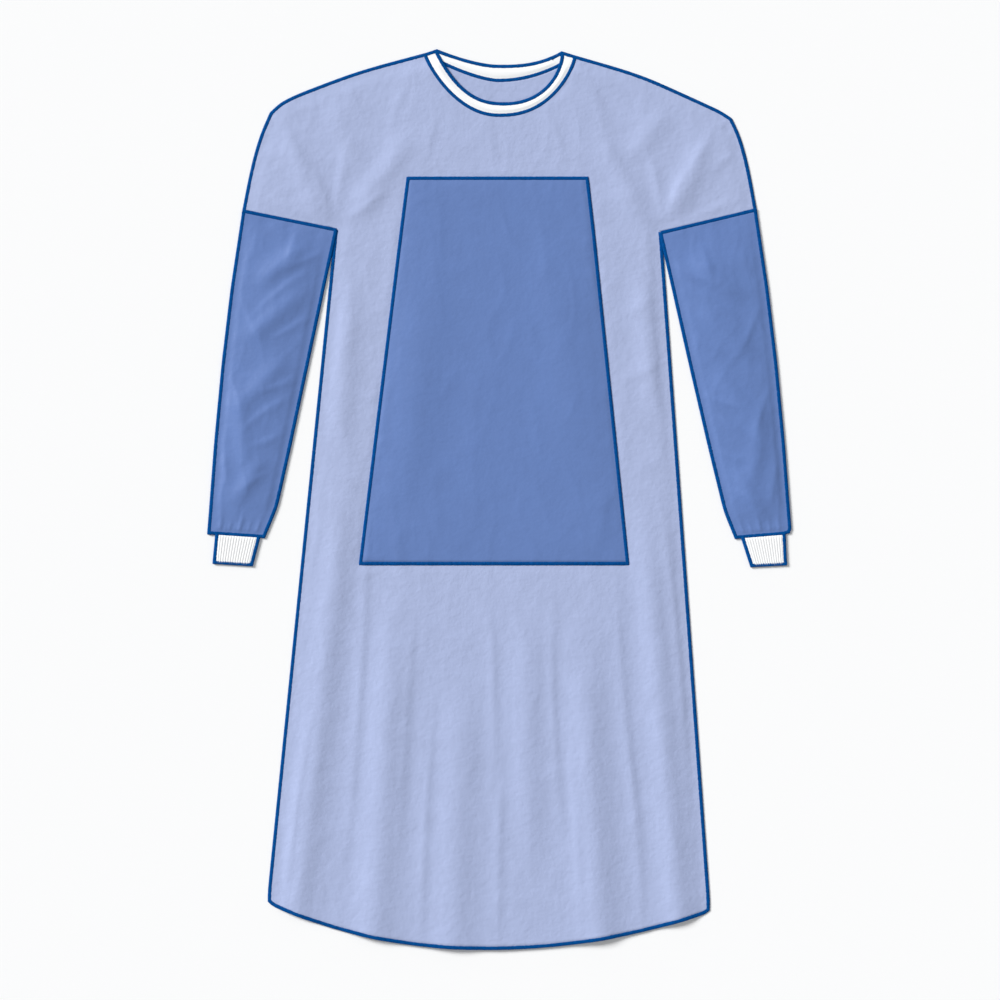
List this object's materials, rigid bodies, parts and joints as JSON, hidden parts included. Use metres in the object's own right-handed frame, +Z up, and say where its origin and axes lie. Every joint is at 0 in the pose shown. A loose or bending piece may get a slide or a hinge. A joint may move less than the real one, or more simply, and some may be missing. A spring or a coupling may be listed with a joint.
{
  "type": "surgical gown",
  "caption": "Long-sleeved reinforced surgical gown laid flat, with a bound round neck, a wrap-over back, a chest panel and rib knit cuffs.",
  "frame": {"origin": "the middle of the garment's outline, on the surface it lies on", "axes": "+X to the right across the chest as seen from above, +Y towards the neck, +Z up from the surface"},
  "size_m": [0.816, 1.258, 0.0073],
  "materials": {
    "light_nonwoven": "soft matt light blue nonwoven",
    "mid_laminate": "smoother mid blue film-backed nonwoven",
    "white_rib_knit": "white rib knit",
    "white_binding": "white binding tape"
  },
  "bodies": {
    "root": {"front_body": "light_nonwoven", "back_inner": "light_nonwoven", "back_outer": "light_nonwoven", "front_reinforcement": "mid_laminate", "sleeve_left": "mid_laminate", "sleeve_right": "mid_laminate", "cuff_left": "white_rib_knit", "cuff_right": "white_rib_knit", "neck_binding_front": "white_binding", "neck_binding_back_inner": "white_binding", "neck_binding_back_outer": "white_binding"}
  },
  "joints": []
}
